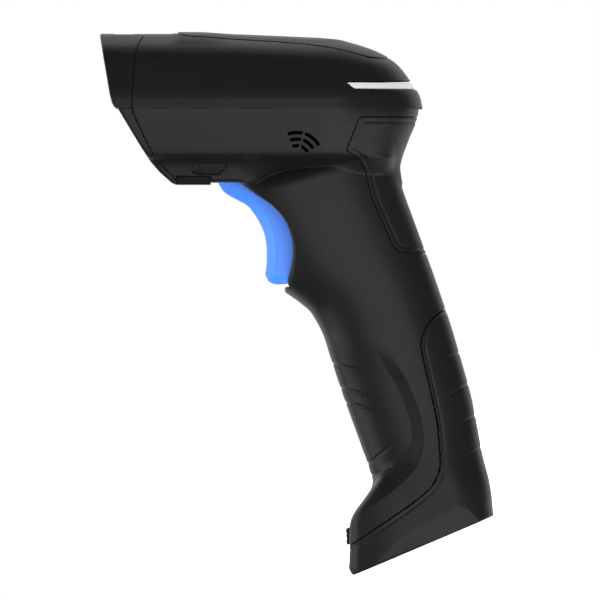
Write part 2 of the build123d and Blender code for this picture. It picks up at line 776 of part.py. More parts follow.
write(coil(CELL.offset(-1.4), 2.6, 0.2, 1.0, 2), "bottom_contact")
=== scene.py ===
import json
from math import cos, pi, radians, sin

import bpy
import numpy as np
from mathutils import Matrix, Vector


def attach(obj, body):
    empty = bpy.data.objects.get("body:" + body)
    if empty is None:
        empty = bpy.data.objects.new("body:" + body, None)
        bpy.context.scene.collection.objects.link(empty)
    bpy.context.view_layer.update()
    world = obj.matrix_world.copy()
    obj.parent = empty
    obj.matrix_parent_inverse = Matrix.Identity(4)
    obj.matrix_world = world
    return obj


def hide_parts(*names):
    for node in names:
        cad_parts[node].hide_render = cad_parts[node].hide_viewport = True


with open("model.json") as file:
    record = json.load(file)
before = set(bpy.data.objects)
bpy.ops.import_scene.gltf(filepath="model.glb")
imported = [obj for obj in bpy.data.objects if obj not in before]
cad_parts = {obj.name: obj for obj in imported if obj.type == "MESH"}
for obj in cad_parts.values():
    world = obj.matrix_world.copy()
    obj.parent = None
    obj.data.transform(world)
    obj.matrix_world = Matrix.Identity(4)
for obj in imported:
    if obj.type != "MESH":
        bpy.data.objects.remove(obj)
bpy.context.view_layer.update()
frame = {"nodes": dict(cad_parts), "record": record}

# Handheld barcode scanner. The outer shells are smooth moulded surfaces, so each one is given
# as a field: a function that is negative inside the plastic and positive outside, in
# millimetres. surface() turns a field into a mesh. Fields use the head's own level frame, x
# along the head, y across, z above the foot; the standing frame of the CAD is that frame
# turned by TILT about the middle of the foot.

TILT = radians(23.0)   # how far the nose is tipped up
MM = 0.001             # one millimetre, in metres
COS, SIN = cos(TILT), sin(TILT)

STEP = 0.46   # grid of the large shells
FINE = 0.36   # grid of the small pieces


def to_standing(x, z):
    """Head frame to standing frame, in the side view."""
    return x * COS + z * SIN, z * COS - x * SIN


def to_head(x, z):
    """Standing frame to head frame, in the side view."""
    return x * COS - z * SIN, x * SIN + z * COS


# ------------------------------------------------------------------ camera
VIEW_CENTRE = to_standing(-38.4, 75.9)
VIEW_WIDTH = 186.0
LENS = 1200.0
SENSOR = 36.0

camera = bpy.data.objects.new("camera", bpy.data.cameras.new("camera"))
bpy.context.collection.objects.link(camera)
camera.data.lens = LENS
camera.data.sensor_width = SENSOR
camera.data.clip_end = 50.0
distance = VIEW_WIDTH * LENS / SENSOR * MM
right = Vector((COS, 0, -SIN))
up = Vector((SIN, 0, COS))
back = Vector((0, -1, 0))
camera.matrix_world = Matrix.Translation(
    (VIEW_CENTRE[0] * MM, -distance, VIEW_CENTRE[1] * MM)
) @ Matrix((right, up, back)).transposed().to_4x4()
bpy.context.scene.camera = camera
bpy.context.scene.view_settings.view_transform = "Standard"


# ------------------------------------------------------------------ fields: tools
def smooth_curve(points):
    """Smooth function through a few points, which keeps flat stretches flat and never overshoots."""
    points = sorted(points)
    x = np.array([p[0] for p in points], float)
    y = np.array([p[1] for p in points], float)
    gap = np.diff(x)
    slope = np.diff(y) / gap
    tangent = np.zeros(len(x))
    tangent[0], tangent[-1] = slope[0], slope[-1]
    for i in range(1, len(x) - 1):
        if slope[i - 1] * slope[i] > 0:
            a, b = 2 * gap[i] + gap[i - 1], gap[i] + 2 * gap[i - 1]
            tangent[i] = (a + b) / (a / slope[i - 1] + b / slope[i])
    reach = 0.25 * (x[-1] - x[0])
    fine = np.linspace(x[0] - reach, x[-1] + reach, 3000)
    k = np.clip(np.searchsorted(x, fine) - 1, 0, len(x) - 2)
    t = (fine - x[k]) / gap[k]
    value = (
        y[k] * (2 * t**3 - 3 * t**2 + 1) + y[k + 1] * (3 * t**2 - 2 * t**3)
        + gap[k] * (tangent[k] * (t**3 - 2 * t**2 + t) + tangent[k + 1] * (t**3 - t**2))
    )
    value = np.where(t < 0, y[0] + tangent[0] * (fine - x[0]), value)
    value = np.where(t > 1, y[-1] + tangent[-1] * (fine - x[-1]), value)
    return lambda u: np.interp(u, fine, value)


def soft_step(t):
    """Ramp from 0 to 1 with soft ends."""
    t = np.clip(t, 0, 1)
    return t * t * (3 - 2 * t)


def round_max(a, b, radius):
    """Intersection of two fields, with a rounded edge."""
    u, v = np.maximum(a + radius, 0), np.maximum(b + radius, 0)
    return np.minimum(np.maximum(a, b), -radius) + np.hypot(u, v)


def round_min(a, b, radius):
    """Union of two fields, with a filleted corner."""
    return -round_max(-a, -b, radius)


def spline_points(points, closed=False, steps=10):
    """Points along a smooth curve (Catmull-Rom) through the given points."""
    p = [np.array(q, float) for q in points]
    n = len(p)
    out = []
    for i in range(n if closed else n - 1):
        if closed:
            a, b, c, d = p[i - 1], p[i], p[(i + 1) % n], p[(i + 2) % n]
        else:
            b, c = p[i], p[i + 1]
            a = p[i - 1] if i else 2 * b - c
            d = p[i + 2] if i + 2 < n else 2 * c - b
        for k in range(steps):
            t = k / steps
            out.append(0.5 * (2 * b + (c - a) * t + (2 * a - 5 * b + 4 * c - d) * t**2
                              + (3 * b - a - 3 * c + d) * t**3))
    if not closed:
        out.append(p[-1])
    return out


def side_grid(points, cell, margin):
    """Lowest corner and coordinates of a grid in the side view that encloses some points."""
    low, high = points.min(0) - margin, points.max(0) + margin
    count = np.ceil((high - low) / cell).astype(int) + 1
    gx, gz = np.meshgrid(*[low[i] + cell * np.arange(count[i]) for i in range(2)], indexing="ij")
    return low, gx, gz


def squared_distance(gx, gz, a, b):
    """Squared distance from grid points to the straight piece between a and b."""
    d = b - a
    t = np.clip(((gx - a[0]) * d[0] + (gz - a[1]) * d[1]) / max(float(d @ d), 1e-12), 0, 1)
    return (gx - a[0] - t * d[0]) ** 2 + (gz - a[1] - t * d[1]) ** 2


def grid_reader(grid, low, cell):
    """Function of x and z that reads a grid in the side view, smoothly between its points."""

    def look_up(x, z):
        u = np.clip((x - low[0]) / cell, 0, grid.shape[0] - 1.001)
        v = np.clip((z - low[1]) / cell, 0, grid.shape[1] - 1.001)
        i, j = u.astype(int), v.astype(int)
        u, v = u - i, v - j
        return ((1 - u) * ((1 - v) * grid[i, j] + v * grid[i, j + 1])
                + u * ((1 - v) * grid[i + 1, j] + v * grid[i + 1, j + 1]))

    return look_up


def outline_field(points, cell=0.25, margin=8.0):
    """Signed distance to a closed outline in the side view, negative inside it."""
    p = np.array(points, float)
    low, gx, gz = side_grid(p, cell, margin)
    best = np.full(gx.shape, 1e9)
    inside = np.zeros(gx.shape, bool)
    for a, b in zip(p, np.roll(p, -1, 0)):
        best = np.minimum(best, squared_distance(gx, gz, a, b))
        if a[1] != b[1]:
            crosses = (a[1] > gz) != (b[1] > gz)
            inside ^= crosses & (gx < a[0] + (gz - a[1]) * (b - a)[0] / (b[1] - a[1]))
    return grid_reader(np.where(inside, -1, 1) * np.sqrt(best), low, cell)


def line_field(points, cell=0.2, margin=6.0):
    """Distance to an open curve in the side view."""
    p = np.array(points, float)
    low, gx, gz = side_grid(p, cell, margin)
    best = np.full(gx.shape, 1e9)
    for a, b in zip(p[:-1], p[1:]):
        best = np.minimum(best, squared_distance(gx, gz, a, b))
    return grid_reader(np.sqrt(best), low, cell)


# ------------------------------------------------------------------ surface from a field
BLOCK = 8              # grid cells along each side of a block
BATCH = 500            # blocks worked out at once
NEWTON_STEPS = 3       # moves of each point onto the surface
SLOPE_REACH = 0.05     # half the span of the slope in those moves
NORMAL_REACH = 0.12    # half the span of the slope that sets the shading normals


def grid_lines(low, high, step, fine=None):
    """Grid line positions along one axis, closer together inside the fine range."""
    marks = [low]
    while marks[-1] < high:
        gap = fine[2] if fine and fine[0] < marks[-1] < fine[1] else step
        marks.append(marks[-1] + gap)
    while (len(marks) - 1) % BLOCK:
        marks.append(marks[-1] + step)
    return np.array(marks)


def grid_values(field, lines, step):
    """Values of a field on the grid, worked out only in blocks that the surface may cross."""
    middles = [(line[:-1:BLOCK] + line[BLOCK::BLOCK]) / 2 for line in lines]
    far = field(*np.meshgrid(*middles, indexing="ij"))
    value = np.ones([len(line) for line in lines], np.float32)
    coarse = np.sign(far).astype(np.float32)
    for axis in range(3):
        coarse = np.repeat(coarse, BLOCK, axis)
    value[:-1, :-1, :-1] = coarse
    near = np.argwhere(np.abs(far) < step * BLOCK * 1.2) * BLOCK
    ramp = np.arange(BLOCK + 1)
    offsets = np.stack(np.meshgrid(ramp, ramp, ramp, indexing="ij"), -1).reshape(-1, 3)
    for start in range(0, len(near), BATCH):
        i, j, k = (near[start:start + BATCH, None] + offsets).reshape(-1, 3).T
        value[i, j, k] = field(lines[0][i], lines[1][j], lines[2][k])
    return value


def net(field, lines, step):
    """Points and faces of field = 0: one point in each cell that the surface crosses."""
    value = grid_values(field, lines, step)
    inside = value < 0
    corner = [(i, j, k) for i in (0, 1) for j in (0, 1) for k in (0, 1)]
    cut = [[slice(c, c - 1 or None) for c in xyz] for xyz in corner]
    total = sum(inside[tuple(c)].astype(np.uint8) for c in cut)
    cells = np.argwhere((total > 0) & (total < 8))
    number = np.full(total.shape, -1, np.int64)
    number[tuple(cells.T)] = np.arange(len(cells))
    place = np.zeros((len(cells), 3))
    hits = np.zeros(len(cells))
    for a in corner:
        for axis in range(3):
            if a[axis]:
                continue
            b = list(a)
            b[axis] = 1
            va = value[tuple((cells + a).T)]
            vb = value[tuple((cells + b).T)]
            cross = (va < 0) != (vb < 0)
            t = np.where(cross, va / np.where(cross, va - vb, 1), 0)
            for k in range(3):
                place[:, k] += np.where(cross, a[k] + (t if k == axis else 0), 0)
            hits += cross
    place = cells + place / hits[:, None]
    points = np.stack([np.interp(place[:, i], np.arange(len(line)), line)
                       for i, line in enumerate(lines)], 1)
    faces = []
    for axis in range(3):
        u, v = (axis + 1) % 3, (axis + 2) % 3
        here, there = [slice(None)] * 3, [slice(None)] * 3
        here[axis], there[axis] = slice(0, -1), slice(1, None)
        edge = np.argwhere(inside[tuple(here)] != inside[tuple(there)])
        edge = edge[(edge[:, u] > 0) & (edge[:, v] > 0)
                    & (edge[:, u] < total.shape[u]) & (edge[:, v] < total.shape[v])]
        ring = []
        for du, dv in ((1, 1), (0, 1), (0, 0), (1, 0)):
            cell = edge.copy()
            cell[:, u] -= du
            cell[:, v] -= dv
            ring.append(number[tuple(cell.T)])
        ring = np.stack(ring, 1)
        outward = inside[tuple(edge.T)]
        faces.append(np.where(outward[:, None], ring, ring[:, ::-1]))
    return points, np.concatenate(faces)


def slope_of(field, p, reach):
    """Gradient of a field at some points."""
    slope = np.empty_like(p)
    for axis in range(3):
        shift = np.zeros(3)
        shift[axis] = reach
        slope[:, axis] = field(*(p + shift).T) - field(*(p - shift).T)
    return slope / (2 * reach)


def surface(name, field, low, high, step, standing=False, fine=(None, None, None)):
    """Mesh object of field = 0 inside a box, with its points moved onto the surface."""
    if standing:
        def local(x, y, z):
            head_x, head_z = to_head(x, z)
            return field(head_x, y, head_z)
    else:
        local = field
    lines = [grid_lines(low[i], high[i], step, fine[i]) for i in range(3)]
    p, faces = net(local, lines, step)
    start = p.copy()
    for _ in range(NEWTON_STEPS):
        slope = slope_of(local, p, SLOPE_REACH)
        size = np.maximum((slope**2).sum(1), 0.05)
        p -= (local(*p.T) / size)[:, None] * slope
        p = start + np.clip(p - start, -0.6 * step, 0.6 * step)
    normal = slope_of(local, p, NORMAL_REACH)
    normal /= np.maximum(np.linalg.norm(normal, axis=1), 1e-9)[:, None]
    if not standing:
        p[:, 0], p[:, 2] = to_standing(p[:, 0], p[:, 2])
        normal[:, 0], normal[:, 2] = to_standing(normal[:, 0], normal[:, 2])
    mesh = bpy.data.meshes.new(name)
    mesh.from_pydata((p * MM).tolist(), [], faces.tolist())
    mesh.shade_smooth()
    mesh.normals_split_custom_set_from_vertices(normal.tolist())
    piece = bpy.data.objects.new(name, mesh)
    bpy.context.collection.objects.link(piece)
    return piece


# ------------------------------------------------------------------ fields: the head
CROWN_X, CROWN_R = -32.6, 32.3    # centre and radius of the round back, seen from above
RIM_Z, KEEL_Z = 135.0, 111.6      # the seam between the halves, and the underside
WALL = 2.0                        # thickness of the shells
SHOULDER_INSET = 4.4              # the crown's top ends this far inside its side
PAD_HEIGHT = 0.5                  # the low pad under the front of the panel
SIDE_SLOPE = 0.21                 # how far the crown's side leans in for each mm of height
EDGE_INSET, EDGE_Z = 3.65, 143.7  # a place on the slanted facet between the crown's top and side
EDGE_OUT, EDGE_UP = 0.844, 0.537  # the facet's normal
FOLD_Z = 120.3                    # height of the fold in the side of the lower head

# Half the width of the head along x, and the height of its ridge along x.
head_width = smooth_curve([(-106, 30.1), (-80, 31.2), (-56, 32.0), (CROWN_X, CROWN_R), (0, CROWN_R)])
ridge_line = smooth_curve([(-106, 158.5), (-82, 158.4), (-74, 158.4), (-63, 158.3), (-45, 157.65),
                           (CROWN_X, 157.1)])
# How far the crown drops from its ridge (0) to its shoulder (1).
crown_drop = smooth_curve([(0, 0), (0.2, 0.5), (0.38, 1.75), (0.6, 3.75), (0.746, 5.7), (0.846, 7.6),
                           (0.914, 9.4), (0.97, 11.2), (1.0, 12.3)])
# Half the width of the lower head by height, and how far it reaches behind CROWN_X.
side_half = smooth_curve([(137, 32.05), (135, 32.0), (131, 31.5), (127, 30.6), (124, 29.75),
                          (122, 29.05), (121.0, 28.5), (120.1, 27.3), (119.0, 25.3), (117.8, 23.9),
                          (116.5, 23.1), (111.6, 20.9)])
rear_reach = smooth_curve([(135.5, 31.0), (134.6, 30.95), (131.1, 30.2), (126.2, 28.2), (123.0, 27.0),
                           (120.6, 26.1), (116.3, 25.2), (111.6, 25.1)])


def crown_field(x, y, z):
    """Top half of the head: round crown with a low pad, shoulder, and side wall down to the rim."""
    radius = np.where(x > CROWN_X, np.hypot(x - CROWN_X, y), np.abs(y))
    width = head_width(np.minimum(x, CROWN_X))
    shoulder = width - SHOULDER_INSET
    across = radius / shoulder
    drop = crown_drop(across)
    steep = (crown_drop(across + 0.02) - drop) / (0.02 * shoulder)
    along = soft_step((x + 79.0) / 4) * soft_step((-58 - x) / 12)
    pad = PAD_HEIGHT * along * soft_step((17 - np.abs(y)) / 8)
    top = (z - ridge_line(np.minimum(x, CROWN_X)) - pad + drop) / np.sqrt(1 + steep**2)
    side = (radius - width + (z - RIM_Z) * SIDE_SLOPE) * 0.98
    slant = (radius - width + EDGE_INSET) * EDGE_OUT + (z - EDGE_Z) * EDGE_UP
    return round_max(round_max(top, slant, 0.7), side, 0.6)


def lower_half(x, z):
    """Half the width of the lower head, which draws in above the neck."""
    inset = 1.5 * np.clip(FOLD_Z - z, 0, 9) * soft_step((x + 60) / 22)
    return side_half(z) * head_width(np.minimum(x, CROWN_X)) / CROWN_R - inset


def lower_head_field(x, y, z):
    """Bottom half of the head: side walls, the fold, the keel, and the bowl at the back."""
    half = lower_half(x, z)
    lean = (lower_half(x, z + 0.1) - lower_half(x, z - 0.1)) / 0.2
    rear = rear_reach(z)
    dx = np.maximum(x - CROWN_X, 0)
    reach = np.sqrt((dx / rear) ** 2 + (y / half) ** 2) + 1e-9
    grade = np.sqrt((dx / rear**2) ** 2 + (y / half**2) ** 2) / reach
    wall = (reach - 1) / np.maximum(grade, 1e-6) / np.sqrt(1 + lean**2)
    return round_max(wall, KEEL_Z - z, 0.9)


# What lies in front of the face of the nose and its slanted chin.
chin_outline = outline_field([(-125, 175), (-100.6, 175), (-100.5, 158.4), (-97.15, 139.4),
                              (-96.5, 136.9), (-95.75, 135.4), (-95.0, 134.9), (-94.3, 134.4),
                              (-91, 128.9), (-87.8, 123.6), (-84.6, 118.6), (-81.6, 115.2),
                              (-77.4, KEEL_Z - 0.1), (-77.4, 90), (-125, 90)])


# ------------------------------------------------------------------ fields: neck, grip and foot
# Front, back and half width of the grip and neck by standing height.
grip_front = smooth_curve([(0, -8.5), (20, -7.2), (31.9, -6.1), (51.7, -5.0), (65.3, -3.9), (72.5, -3.3),
                           (79.5, -4.0), (84.0, -6.0), (87.3, -8.0), (90.5, -10.0), (104, -13.5),
                           (120, -16.0), (130, -17)])
grip_back = smooth_curve([(-1, 22.6), (1.2, 23.1), (6.7, 24.8), (14.1, 26.5), (26.9, 29.5), (38, 31.7),
                          (49.6, 33.2), (59.2, 34.3), (67, 34.9), (76.8, 35.6), (86.7, 36.1),
                          (94.7, 36.5), (101, 36.8), (110, 37.6), (125, 39)])
grip_half = smooth_curve([(0, 17.4), (14, 17.2), (30, 17.0), (54, 17.2), (76, 17.9), (90, 18.8),
                          (104, 20.0), (122, 21.0)])
GRIP_POWER = 2.35   # roundness of the oval sections, where 2 is an ellipse

# The open bay in front of the neck that the trigger moves in.
bay_curve = spline_points([(-57.0, 112.2), (-52.0, 108.5), (-46.9, 105.0), (-43.0, 100.4), (-41.0, 95.0),
                           (-40.6, 90.5), (-41.2, 86.0), (-42.4, 81.5), (-43.3, 78.9)])
bay_outline = outline_field([*bay_curve, (-44.2, 78.0), (-80, 55), (-90, 60), (-90, 112.2)])

# The hollow in each side of the grip and foot.
sculpt_outer = spline_points([(-12.4, 63.4), (-9.0, 57.0), (-5.1, 50.4), (-1.9, 42.5), (-0.5, 37.0),
                              (-0.2, 32.6), (-0.9, 28.2), (-3.0, 23.6), (-8.5, 18.1), (-14.0, 13.8),
                              (-19.4, 9.8), (-27.0, 4.2)])
sculpt_inside = outline_field([*sculpt_outer, (-60, 0), (-60, 80), (-19.5, 80), (-15.5, 70)])

# Grooves for the fingers on the grip's front, and for the palm on the battery cover.
finger_grooves = [line_field(g, margin=3.0) for g in (
    [(-30.5, 56.7), (-15.0, 53.1)], [(-28.0, 49.2), (-12.6, 45.3)], [(-26.0, 44.6), (-11.6, 41.0)],
    [(-19.5, 23.6), (-15.4, 26.7), (-10.2, 31.0)], [(-17.5, 20.9), (-10.3, 24.2)])]
cover_grooves = [line_field(g, margin=3.0) for g in (
    [(14.0, 60.9), (6.7, 57.6)], [(17.0, 51.9), (8.4, 46.7)], [(19.5, 42.3), (12.0, 37.9)],
    [(21.5, 32.3), (12.5, 27.2)])]
GROOVE_HALF, GROOVE_DEEP = 0.55, 0.28
HAIRLINE_DEEP = 0.2   # the line that runs beside a seam


def groove(distance, deep=GROOVE_DEEP):
    """Depth of a rounded groove at a distance from its middle line."""
    return deep * np.clip(1 - (distance / GROOVE_HALF) ** 2, 0, 1)


# How far the neck's side leans in, by height above its shoulder line.
lean_in = smooth_curve([(-2, 0), (0, 0), (1.5, 0.3), (3.5, 1.5), (6, 4.0), (10, 8.5), (14, 12)])


def shoulder_line(x):
    """Height at which the neck's sides start to lean in under the head."""
    return 110.6 + 0.3 * (np.clip(x, -50, -10) + 41.5)


def column_field(x, y, z):
    """Neck and grip: oval sections, with the sculpted side."""
    sx, sz = to_standing(x, z)
    front, back, half = grip_front(sz), grip_back(sz), grip_half(sz)
    middle, depth = (front + back) / 2, (back - front) / 2
    facet = np.clip(-sculpt_inside(x, z), 0, 3.4) * soft_step((64 - z) / 16)
    half = half - 0.58 * facet - lean_in(z - shoulder_line(x)) * soft_step((-13 - x) / 9)
    u = np.abs((sx - middle) / depth)
    v = np.abs(y / half)
    reach = (u**GRIP_POWER + v**GRIP_POWER + 1e-9) ** (1 / GRIP_POWER)
    gu = (u / reach) ** (GRIP_POWER - 1) / depth
    gv = (v / reach) ** (GRIP_POWER - 1) / half
    return (reach - 1) / np.hypot(gu, gv)


# Front and half width of the foot by standing height, and the crease above its sole.
foot_front = smooth_curve([(-2, -23.6), (0.4, -24.1), (2.2, -24.25), (4.0, -23.4), (6.5, -22.3),
                           (11.0, -20.4), (15.4, -18.2), (17.4, -16.2), (20.1, -11.8), (23.4, -6.6),
                           (30, 3)])
foot_half = smooth_curve([(-1, 20.5), (5.0, 20.3), (11, 19.5), (17.4, 18.4), (24, 16.8), (34, 13.6)])
SOLE_HALF = 20.3                        # half the foot's width at the crease
TOE_CORNER, HEEL_CORNER = 3.5, 13.0     # radii of the foot's corners, seen from above
CREASE_OUT, CREASE_DOWN = 0.93, 0.367   # normal of the facet below the crease
COLUMN_TOP, FOOT_TOP = 133, 32          # standing heights at which the neck and the foot are cut off
THIN_FILLET, SIDE_FILLET, REAR_FILLET = 0.3, 8.0, 1.3   # between the head and the neck
FOOT_FILLET, BAY_ROUND = 2.5, 1.2       # between grip and foot, and around the trigger's bay
sole_crease = smooth_curve([(-26, 1.2), (-19.7, 2.4), (-8, 4.3), (4, 6.1), (15, 7.6), (26, 8.8)])


def foot_field(x, y, z):
    """Foot: boxy, with a rounder heel and a toe, cut back by the sculpted side and a low facet."""
    sx, sz = to_standing(x, z)
    front, back = foot_front(sz), grip_back(sz) - 3.5 * soft_step((sz - 10) / 16)
    taper = 0.0125 * np.clip(-1.5 - sx, 0, 24) ** 2
    half = foot_half(sz) - taper - 0.62 * np.clip(-sculpt_inside(x, z), 0, 9)
    middle, depth = (front + back) / 2, (back - front) / 2
    corner = np.where(sx < middle, TOE_CORNER, HEEL_CORNER)
    qx = np.abs(sx - middle) - depth + corner
    qy = np.abs(y) - half + corner
    side = np.hypot(np.maximum(qx, 0), np.maximum(qy, 0)) + np.minimum(np.maximum(qx, qy), 0) - corner
    facet = ((np.abs(y) - SOLE_HALF + 0.45 * taper) * CREASE_OUT
             + (sole_crease(sx) + 0.4 * taper - sz) * CREASE_DOWN)
    return round_max(round_max(side * 0.9, facet, 0.25), -sz, 0.7)


def body_field(x, y, z):
    """Lower body: head, neck, grip and foot as one flowing shape."""
    sx, sz = to_standing(x, z)
    head = np.maximum(lower_head_field(x, y, z), z - RIM_Z - 1.4)
    column = np.maximum(column_field(x, y, z), sz - COLUMN_TOP)
    # The fillet under the head is wide beside the neck and narrow behind it.
    rear = soft_step((x + 22) / 14) * (1 - soft_step((np.abs(y) - 6) / 14))
    spread = SIDE_FILLET * soft_step((x + 31) / 17) * (1 - rear) * soft_step((z - 112.0) / 6)
    upper = round_min(head, column, THIN_FILLET + spread + REAR_FILLET * rear)
    lower = round_min(upper, np.maximum(foot_field(x, y, z), sz - FOOT_TOP), FOOT_FILLET)
    lower = np.maximum(lower, -sz)
    return round_max(lower, -bay_outline(x, z), BAY_ROUND)


# ------------------------------------------------------------------ seams and cut-outs
# What lies in front of the seam behind the nose bezel.
nose_curve = spline_points([(-86.6, 162), (-87.1, 157.3), (-88.6, 154.4), (-89.6, 150), (-90.1, 142),
                            (-90.2, 134.9), (-88.0, 129.4), (-84.9, 122.8), (-81.3, 117.5),
                            (-77.8, 114.0), (-75.5, 110.5)])
nose_seam = outline_field([*nose_curve, (-75.5, 95), (-130, 95), (-130, 175), (-86.6, 175)])

# The battery cover's seam from its top to the toe, in the standing frame, and what lies behind it.
cover_curve = [(44, 66.2), (35.4, 65.0), (30.2, 63.8), (26.1, 61.2), (23.8, 58.4), (22.7, 55.3),
               (21.4, 48.2), (19.8, 39.4), (18.0, 31.5), (16.2, 26.1), (14.2, 20.8), (11.4, 17.5),
               (7.9, 15.3), (0.6, 13.2), (-8.8, 11.3), (-20.1, 9.0), (-32, 6.6)]
cover_side = outline_field([*spline_points([to_head(*p) for p in cover_curve]),
                            to_head(-32, -14), to_head(60, -14), to_head(60, 66.2)])

# The pad on each side of the neck's back.
web_side = outline_field([(-24.0, 122.3), (-20.3, 131.6), (-19.4, 132.5), (12, 132.5), (12, 90.9),
                          (0.3, 90.2), (-7.8, 91.1), (-9.2, 92.2), (-10.4, 94.6), (-12.7, 99.8),
                          (-15.8, 106.6), (-18.4, 116.3), (-20.2, 119.2), (-22.6, 121.2)])

# The plug under the chin, and the pill-shaped recess beside the keel.
port_x, port_z = (-76.7, -66.1), (110.0, 114.1)
pill_side = outline_field([(-70.0, 114.55), (-63.4, 114.55), (-60.6, 117.8), (-62.6, 118.1), (-70.0, 118.1),
                           (-71.3, 117.6), (-71.9, 116.3), (-71.3, 115.1)], cell=0.1, margin=3.0)

# The sound slots: centre, radii, half width, both ends, and the rib that breaks them.
SLOTS_X, SLOTS_Z = -39.4, 119.8
SLOT_RADII = (3.7, 5.75, 7.8)
SLOT_HALF = 0.42
SLOTS_FROM, SLOTS_TO, RIB_AT = 30, 110, 74   # degrees
RIB_WIDTH = 0.9
DEGREES = 57.3                               # in a radian
# The sounder behind them: centre, radius and half thickness.
SOUNDER_X, SOUNDER_Y, SOUNDER_Z = SLOTS_X, -15.4, 121.0
SOUNDER_R, SOUNDER_HALF = 6.2, 1.4

# Gaps around the outer pieces, and the thickness and recess of those let into the shells.
NOSE_GAP, COVER_GAP, PORT_GAP = 0.06, 0.1, 0.1
PANEL_GAP, PANEL_THICK, PANEL_RECESS = 0.16, 1.15, 1.3
WEB_GAP, WEB_THICK, WEB_RECESS = 0.12, 1.0, 1.15
BAR_SUNK, BAR_THICK = 0.3, 1.6
TRIGGER_WAY = 10.0   # half the width of the trigger's way through the housing


def box_side(x, z, low_x, high_x, low_z, high_z):
    """Distance outside a rectangle in the side view."""
    return np.maximum(np.maximum(low_x - x, x - high_x), np.maximum(low_z - z, z - high_z))


def sound_slots(x, z):
    """Three concentric arcs of slots, each broken near its top by a rib."""
    dx, dz = x - SLOTS_X, z - SLOTS_Z
    radius = np.hypot(dx, dz)
    angle = np.degrees(np.arctan2(dz, dx))
    ring = np.minimum.reduce([np.abs(radius - r) for r in SLOT_RADII])
    gap = RIB_WIDTH / np.maximum(radius, 1) * DEGREES
    arc = np.maximum(SLOTS_FROM - angle, angle - SLOTS_TO) * radius / DEGREES
    hole = np.maximum(ring - SLOT_HALF, arc)
    rib = (gap / 2 - np.abs(angle - RIB_AT)) * radius / DEGREES
    return np.maximum(hole, rib)


def behind_nose(skin, x, z):
    """A shell cut back to the nose bezel's seam."""
    return round_max(skin, -nose_seam(x, z) + NOSE_GAP, 0.2)


def lower_housing(side):
    """One half of the lower housing: the left one for side -1, the right one for side 1."""

    def field(x, y, z):
        body = body_field(x, y, z)
        sx, sz = to_standing(x, z)
        ribs = sum(groove(g(x, z)) for g in finger_grooves) * np.clip((6.0 - sx) / 4, 0, 1)
        outer = body + ribs
        skin = behind_nose(np.maximum(outer, -(body + WALL)), x, z)
        # The edge along the battery cover, with a ledge, a rib and a stop behind the seam.
        joint = cover_side(x, z)
        skin = round_max(skin, -joint + COVER_GAP, 0.15)
        ledge = np.maximum(np.abs(body + 2.75) - 0.6, np.abs(joint - 0.6) - 3.0)
        rib = np.maximum(np.abs(body + 2.0) - 1.3, np.abs(joint - 2.4) - 1.2)
        stop = np.maximum(np.abs(body + 1.6) - 1.0, np.abs(joint - 0.3) - 0.35)
        skin = np.minimum(np.minimum(skin, stop), np.minimum(ledge, rib))
        # Cut-outs: the neck pad's recess, the port, the trigger's bay and keel slot, the pill, the latch.
        recess = np.maximum(web_side(x, z) - WEB_GAP, -(outer + WEB_RECESS))
        skin = np.maximum(skin, -recess)
        port = box_side(x, z, port_x[0] - PORT_GAP, port_x[1] + PORT_GAP, port_z[0], port_z[1] + PORT_GAP)
        skin = round_max(skin, -port, 0.12)
        pocket = np.maximum(np.maximum(bay_outline(x - 9.0, z), 80.0 - z), np.abs(y) - TRIGGER_WAY)
        skin = round_max(skin, -pocket, 0.5)
        keel_slot = np.maximum(box_side(x, z, -65.6, -44, 105, 114.5), np.abs(y) - TRIGGER_WAY)
        skin = round_max(skin, -keel_slot, 0.4)
        deep = 0.95 + 0.3 * np.clip((-66.5 - x) / 4, -1, 1)   # deeper towards the nose
        pill = np.maximum(pill_side(x, z), -(outer + deep))
        skin = round_max(skin, -pill, 0.12)
        latch_way = np.maximum(box_side(sx, sz, -30, -14.0, 7, 14.3), np.abs(y) - 5.5)
        skin = round_max(skin, -latch_way, 0.2)
        if side < 0:
            skin = round_max(skin, -sound_slots(x, z), 0.1)
        return round_max(skin, -side * y + 0.02, 0.1)

    return field


# Half of the top panel's plan, from above, and the mirrored whole.
panel_side = [(-75.6, 6.2), (-73.2, 8.4), (-69.0, 9.4), (-57, 10.2), (-46, 11.0), (-36, 12.4),
              (-28.5, 14.8), (-21.5, 15.9), (-16.2, 14.0), (-12.4, 8.2)]
panel_mirror = [(x, -y) for x, y in reversed(panel_side)]
panel_plan = outline_field(spline_points([(-76.4, 0), *panel_side, (-11.2, 0), *panel_mirror],
                                         closed=True))
PANEL_FLOOR = 148.0   # the panel and its recess stay above this height

# The light bar in the side view, and the slightly larger slot that it sits in.
BAR_LOW, BAR_HIGH = 141.1, 143.1
bar_shape = outline_field([(-23.7, BAR_HIGH), (-22.9, 142.1), (-22.2, 141.5), (-21.4, BAR_LOW),
                           (12, BAR_LOW), (12, BAR_HIGH)], cell=0.1, margin=4.0)
bar_slot = outline_field([(-24.1, BAR_HIGH + 0.45), (-23.1, 142.0), (-22.3, 141.35),
                          (-21.4, BAR_LOW - 0.12), (12, BAR_LOW - 0.12), (12, BAR_HIGH + 0.45)],
                         cell=0.1, margin=4.0)


def upper_housing(x, y, z):
    """Crown shell, with the panel's recess in its top and the light bar's slot at its back."""
    outer = crown_field(x, y, z)
    skin = np.maximum(outer, -(outer + WALL))
    skin = behind_nose(round_max(skin, RIM_Z - z, 0.25), x, z)
    recess = np.maximum(panel_plan(x, y) - PANEL_GAP, -(outer + PANEL_RECESS))
    recess = np.maximum(recess, PANEL_FLOOR - z)
    skin = round_max(skin, -recess, 0.18)
    slot = np.maximum(bar_slot(x, z), -30 - x)
    return round_max(skin, -slot, 0.2)


